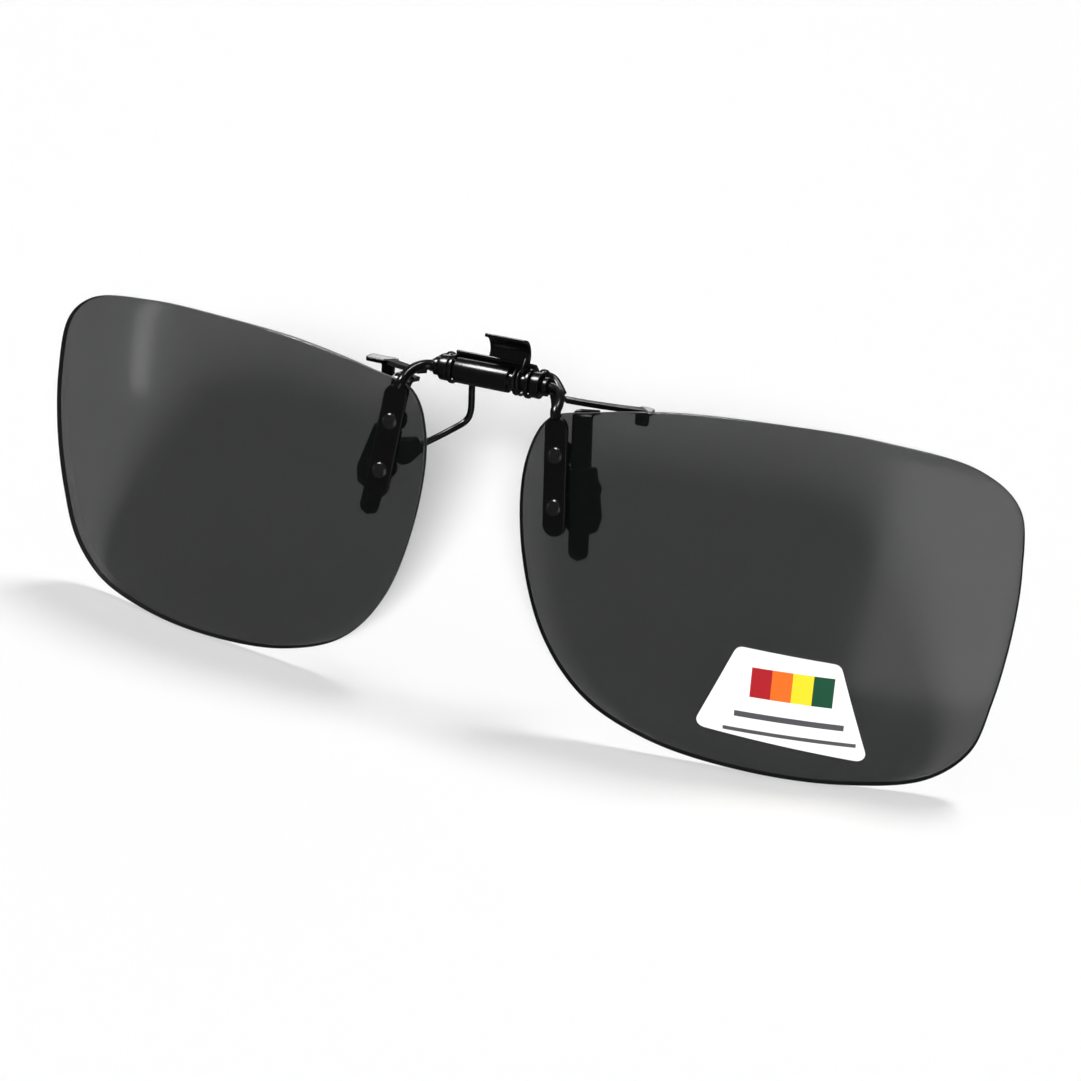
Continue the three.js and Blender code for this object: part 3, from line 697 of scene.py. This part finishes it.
def front_prong(side, sign):
    """A sheet that runs forward from under the rest, bends down, and ends round."""
    flange, bend, half = PRONG_FLANGE, PRONG_BEND, SHEET / 2
    turn = np.linspace(0, np.pi / 2, 12)
    arc = np.stack([bend - bend * np.sin(turn), -half - bend + bend * np.cos(turn)], axis=1)
    leg_end = -PRONG_LENGTH
    leg = np.stack([np.zeros(40), np.linspace(-half - bend, leg_end, 41)[1:]], axis=1)
    middle = np.vstack([[(flange, -half), (1.8, -half)], arc, leg])
    along = np.gradient(middle, axis=0)
    along /= np.linalg.norm(along, axis=1)[:, None]
    normal = np.stack([along[:, 1], -along[:, 0]], axis=1)
    width = np.full(len(middle), PRONG_WIDTH / 2)
    from_end = middle[:, 1] - leg_end
    round_end = np.sqrt(np.clip(1 - (1 - np.clip(from_end / PRONG_TIP, 0, 1)) ** 2, 0.02, 1))
    width = np.where(middle[:, 0] < 0.01, width * round_end, width)
    add_piece(f"front_prong_{side}_finished", [in_prong(strip(middle, normal, 0.0, width, half))], ENAMEL,
              "clip", [f"front_prong_{side}"], sign)


def front_sleeve(side, sign):
    """Rubber dipped over the prong: straight by the nose, flared to the temple, with fat round edges."""
    top, bottom = -SLEEVE_TOP, -SLEEVE_BOTTOM
    outline = [(-1.6, top), (1.9, top), (2.8, bottom + 2.2), (2.2, bottom + 0.4), (1.1, bottom),
               (-0.9, bottom), (-1.6, bottom + 0.9)]
    loop = rounded_outline(outline, [0.35, 0.35, 0.9, 0.5, 0.5, 0.4, 0.4], 8)
    add_piece(f"front_sleeve_{side}_finished", [in_prong(slab(loop, SLEEVE_THICKNESS / 2 - 0.1, 0.55, 0.1))],
              RUBBER, "clip", [f"front_sleeve_{side}"], sign)


def torsion_spring():
    """A helix round the barrel's neck, then a leg that rises just beside the thumb tab."""
    start = RIGHT_NECK[0] + FIT_GAP + SPRING_WIRE
    turn = np.linspace(0, SPRING_TURNS * 2 * np.pi, 90)
    angle = turn - np.pi / 2
    coil = np.stack([start + SPRING_PITCH * turn / (2 * np.pi), SPRING_RADIUS * np.cos(angle),
                     SPRING_RADIUS * np.sin(angle)], axis=1)
    x = coil[-1, 0] + 0.05
    leg = smooth_curve([coil[-2], coil[-1]] + [(x, y, z) for y, z in SPRING_LEG], 30)
    path = np.vstack([coil, leg[leg[:, 2] > coil[-1, 2] + 0.1]])
    piece = add_piece("torsion_spring_finished", [tube(path, SPRING_WIRE, (1, 0, 0), 12)], SPRING_STEEL,
                      None, ["torsion_spring"])
    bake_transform(piece)


# ---------------------------------------------------------------- jaw

def thumb_lever():
    """Sheets carried along arcs about the hinge for the saddle and webs, a curl for the tab, turned ears."""
    half = LEVER_THICKNESS / 2
    turn = np.linspace(*SADDLE_SWEEP, 26)
    rim = np.stack([np.cos(turn), np.sin(turn)], axis=1)
    saddle = strip(rim * LEVER_MIDDLE, rim, 0.0, LEVER_HALF, half, 0.14)
    curl = smooth_curve(THUMB_CURL, 50)
    along = np.gradient(curl, axis=0)
    along /= np.linalg.norm(along, axis=1)[:, None]
    normal = np.stack([along[:, 1], -along[:, 0]], axis=1)
    middle_x, wide = sum(THUMB_TAB) / 2, (THUMB_TAB[1] - THUMB_TAB[0]) / 2
    tab = strip(curl, normal, middle_x, wide, half)
    parts = [saddle, tab]
    inner, outer = EAR_RADII
    ear_turn = np.linspace(*EAR_SWEEP, 20)
    ear_rim = np.stack([np.cos(ear_turn), np.sin(ear_turn)], axis=1)
    for x in (-LEVER_HALF + EAR_HALF, LEVER_HALF - EAR_HALF):
        low, high = x - EAR_HALF, x + EAR_HALF
        parts.append(lathe(soft_corners([(low, inner), (high, inner), (high, outer), (low, outer)], 0.1), 48))
        parts.append(strip(ear_rim * WEB_RADIUS, ear_rim, x, WEB_HALF_WIDTH, WEB_HALF, 0.08))
    add_piece("thumb_lever_finished", parts, ENAMEL, "jaw", ["thumb_lever"])


def rear_grip(side, sign):
    """A round wire along its route, and a crowned paddle that is widest and roundest away from the wire."""
    path = smooth_curve(REAR_ROUTE, 90)
    add_piece(f"rear_wire_{side}_finished", [tube(path, REAR_WIRE_RADIUS, (1, 0, 0))], ENAMEL, "jaw",
              [f"rear_wire_{side}"], sign)
    tall = PAD_HALF_HEIGHT
    corners = [(-0.5, -1.0), (-0.5, 1.0), (1.7, tall), (PAD_REACH, tall), (PAD_REACH, -tall), (1.7, -tall)]
    loop = rounded_outline(corners, [0.5, 0.5, 0.8, 1.4, 1.4, 0.8], 9)
    verts, faces = slab(loop, PAD_THICKNESS / 2 - PAD_CROWN, 0.55, PAD_CROWN)
    paddle = placed(verts, PAD_START, turned(0, PAD_TURN, 0)), faces
    add_piece(f"rear_pad_{side}_finished", [paddle], RUBBER, "jaw", [f"rear_pad_{side}"], sign)


# ---------------------------------------------------------------- studio

def softbox(name, place, aim, size, power):
    """A rectangular area lamp, aimed from its place at a spot on the object."""
    lamp = bpy.data.lights.new(name, "AREA")
    lamp.shape, lamp.size, lamp.size_y, lamp.energy = "RECTANGLE", size[0], size[1], power
    box = bpy.data.objects.new(name, lamp)
    box.location = place
    box.rotation_euler = (Vector(aim) - Vector(place)).to_track_quat("-Z", "Y").to_euler()
    bpy.context.scene.collection.objects.link(box)
    return box


def far_lamp(name, azimuth, elevation, spread, strength):
    """A distant lamp; azimuth is degrees right of straight ahead, elevation is above the floor."""
    lamp = bpy.data.lights.new(name, "SUN")
    lamp.angle, lamp.energy = math.radians(spread), strength
    azimuth, elevation = math.radians(azimuth), math.radians(elevation)
    towards = Vector((math.sin(azimuth) * math.cos(elevation), -math.cos(azimuth) * math.cos(elevation),
                      math.sin(elevation)))
    sun = bpy.data.objects.new(name, lamp)
    sun.rotation_euler = towards.to_track_quat("Z", "Y").to_euler()
    bpy.context.scene.collection.objects.link(sun)
    return sun


def studio(floor_height):
    """A pale table in a white room, lit from overhead and from in front; four lamps show only as gloss."""
    bpy.ops.mesh.primitive_plane_add(size=FLOOR_SIZE, location=(0, 0, floor_height))
    floor = bpy.context.object
    floor.name = "studio_floor"
    material = bpy.data.materials.new("white_table")
    material.use_nodes = True
    shader = material.node_tree.nodes["Principled BSDF"]
    shader.inputs["Base Color"].default_value = (0.93, 0.93, 0.93, 1)
    shader.inputs["Roughness"].default_value = 0.9
    shader.inputs["Specular IOR Level"].default_value = 0.1
    floor.data.materials.append(material)
    floor.visible_glossy = False
    floor.visible_shadow = False

    # The room is white to the camera and a dim even glow to everything else.
    world = bpy.data.worlds.new("studio_air")
    bpy.context.scene.world = world
    world.use_nodes = True
    air = world.node_tree
    path = add_node(air, "ShaderNodeLightPath")
    strength = add_node(air, "ShaderNodeMapRange", {
        "Value": path.outputs["Is Camera Ray"], "To Min": ROOM_GLOW, "To Max": 1.0})
    background = air.nodes["Background"]
    background.inputs["Color"].default_value = (1, 1, 1, 1)
    air.links.new(strength.outputs["Result"], background.inputs["Strength"])

    far_lamp("overhead_lamp", 140, 74, 16, 1.15)
    front = far_lamp("front_lamp", 21, 20, 9, 5.6)
    front.visible_glossy = False
    glint = far_lamp("glint_lamp", -52, 64, 22, 6.0)
    reflections = [glint] + [
        softbox(name, place, REFLECTION_AIM, size, power) for name, place, size, power in (
            ("right_panel", (0.8, -1.0, -0.3), (0.7, 1.1), 3.6),
            ("left_panel", (-1.1, -0.55, 0.0), (0.09, 0.45), 0.35),
            ("back_panel", (-0.52, 1.27, 0.52), (0.7, 0.35), 3.2))]
    for lamp in reflections:
        lamp.visible_diffuse = False
        lamp.visible_camera = False


def camera():
    """Looks from the right and above, a little rolled, with the whole object in view."""
    azimuth, elevation, roll = (math.radians(v) for v in (CAMERA_AZIMUTH, CAMERA_ELEVATION, CAMERA_ROLL))
    distance = CAMERA_DISTANCE * MM
    target = Vector(CAMERA_TARGET) * MM
    forward = Vector((-math.sin(azimuth) * math.cos(elevation), math.cos(azimuth) * math.cos(elevation),
                      -math.sin(elevation)))
    level = Vector((math.cos(azimuth), math.sin(azimuth), 0))
    upright = level.cross(forward)
    right = level * math.cos(roll) + upright * math.sin(roll)
    up = right.cross(forward)
    data = bpy.data.cameras.new("camera")
    data.lens, data.sensor_width = CAMERA_LENS, CAMERA_SENSOR
    data.clip_start, data.clip_end = 0.01, 20.0
    eye = bpy.data.objects.new("camera", data)
    eye.matrix_world = Matrix.Translation(target - forward * distance) @ Matrix(
        (right, up, -forward)).transposed().to_4x4()
    bpy.context.scene.collection.objects.link(eye)
    bpy.context.scene.camera = eye


camera()
for side_name, side_sign in SIDES.items():
    lens(side_name, side_sign)
    lens_fixings(side_name, side_sign)
    top_rest(side_name, side_sign)
    front_prong(side_name, side_sign)
    front_sleeve(side_name, side_sign)
    rear_grip(side_name, side_sign)
lens_wire()
sticker()
clip_body()
torsion_spring()
thumb_lever()
studio(cad_box[0][2])
bpy.context.scene.view_settings.view_transform = "Standard"
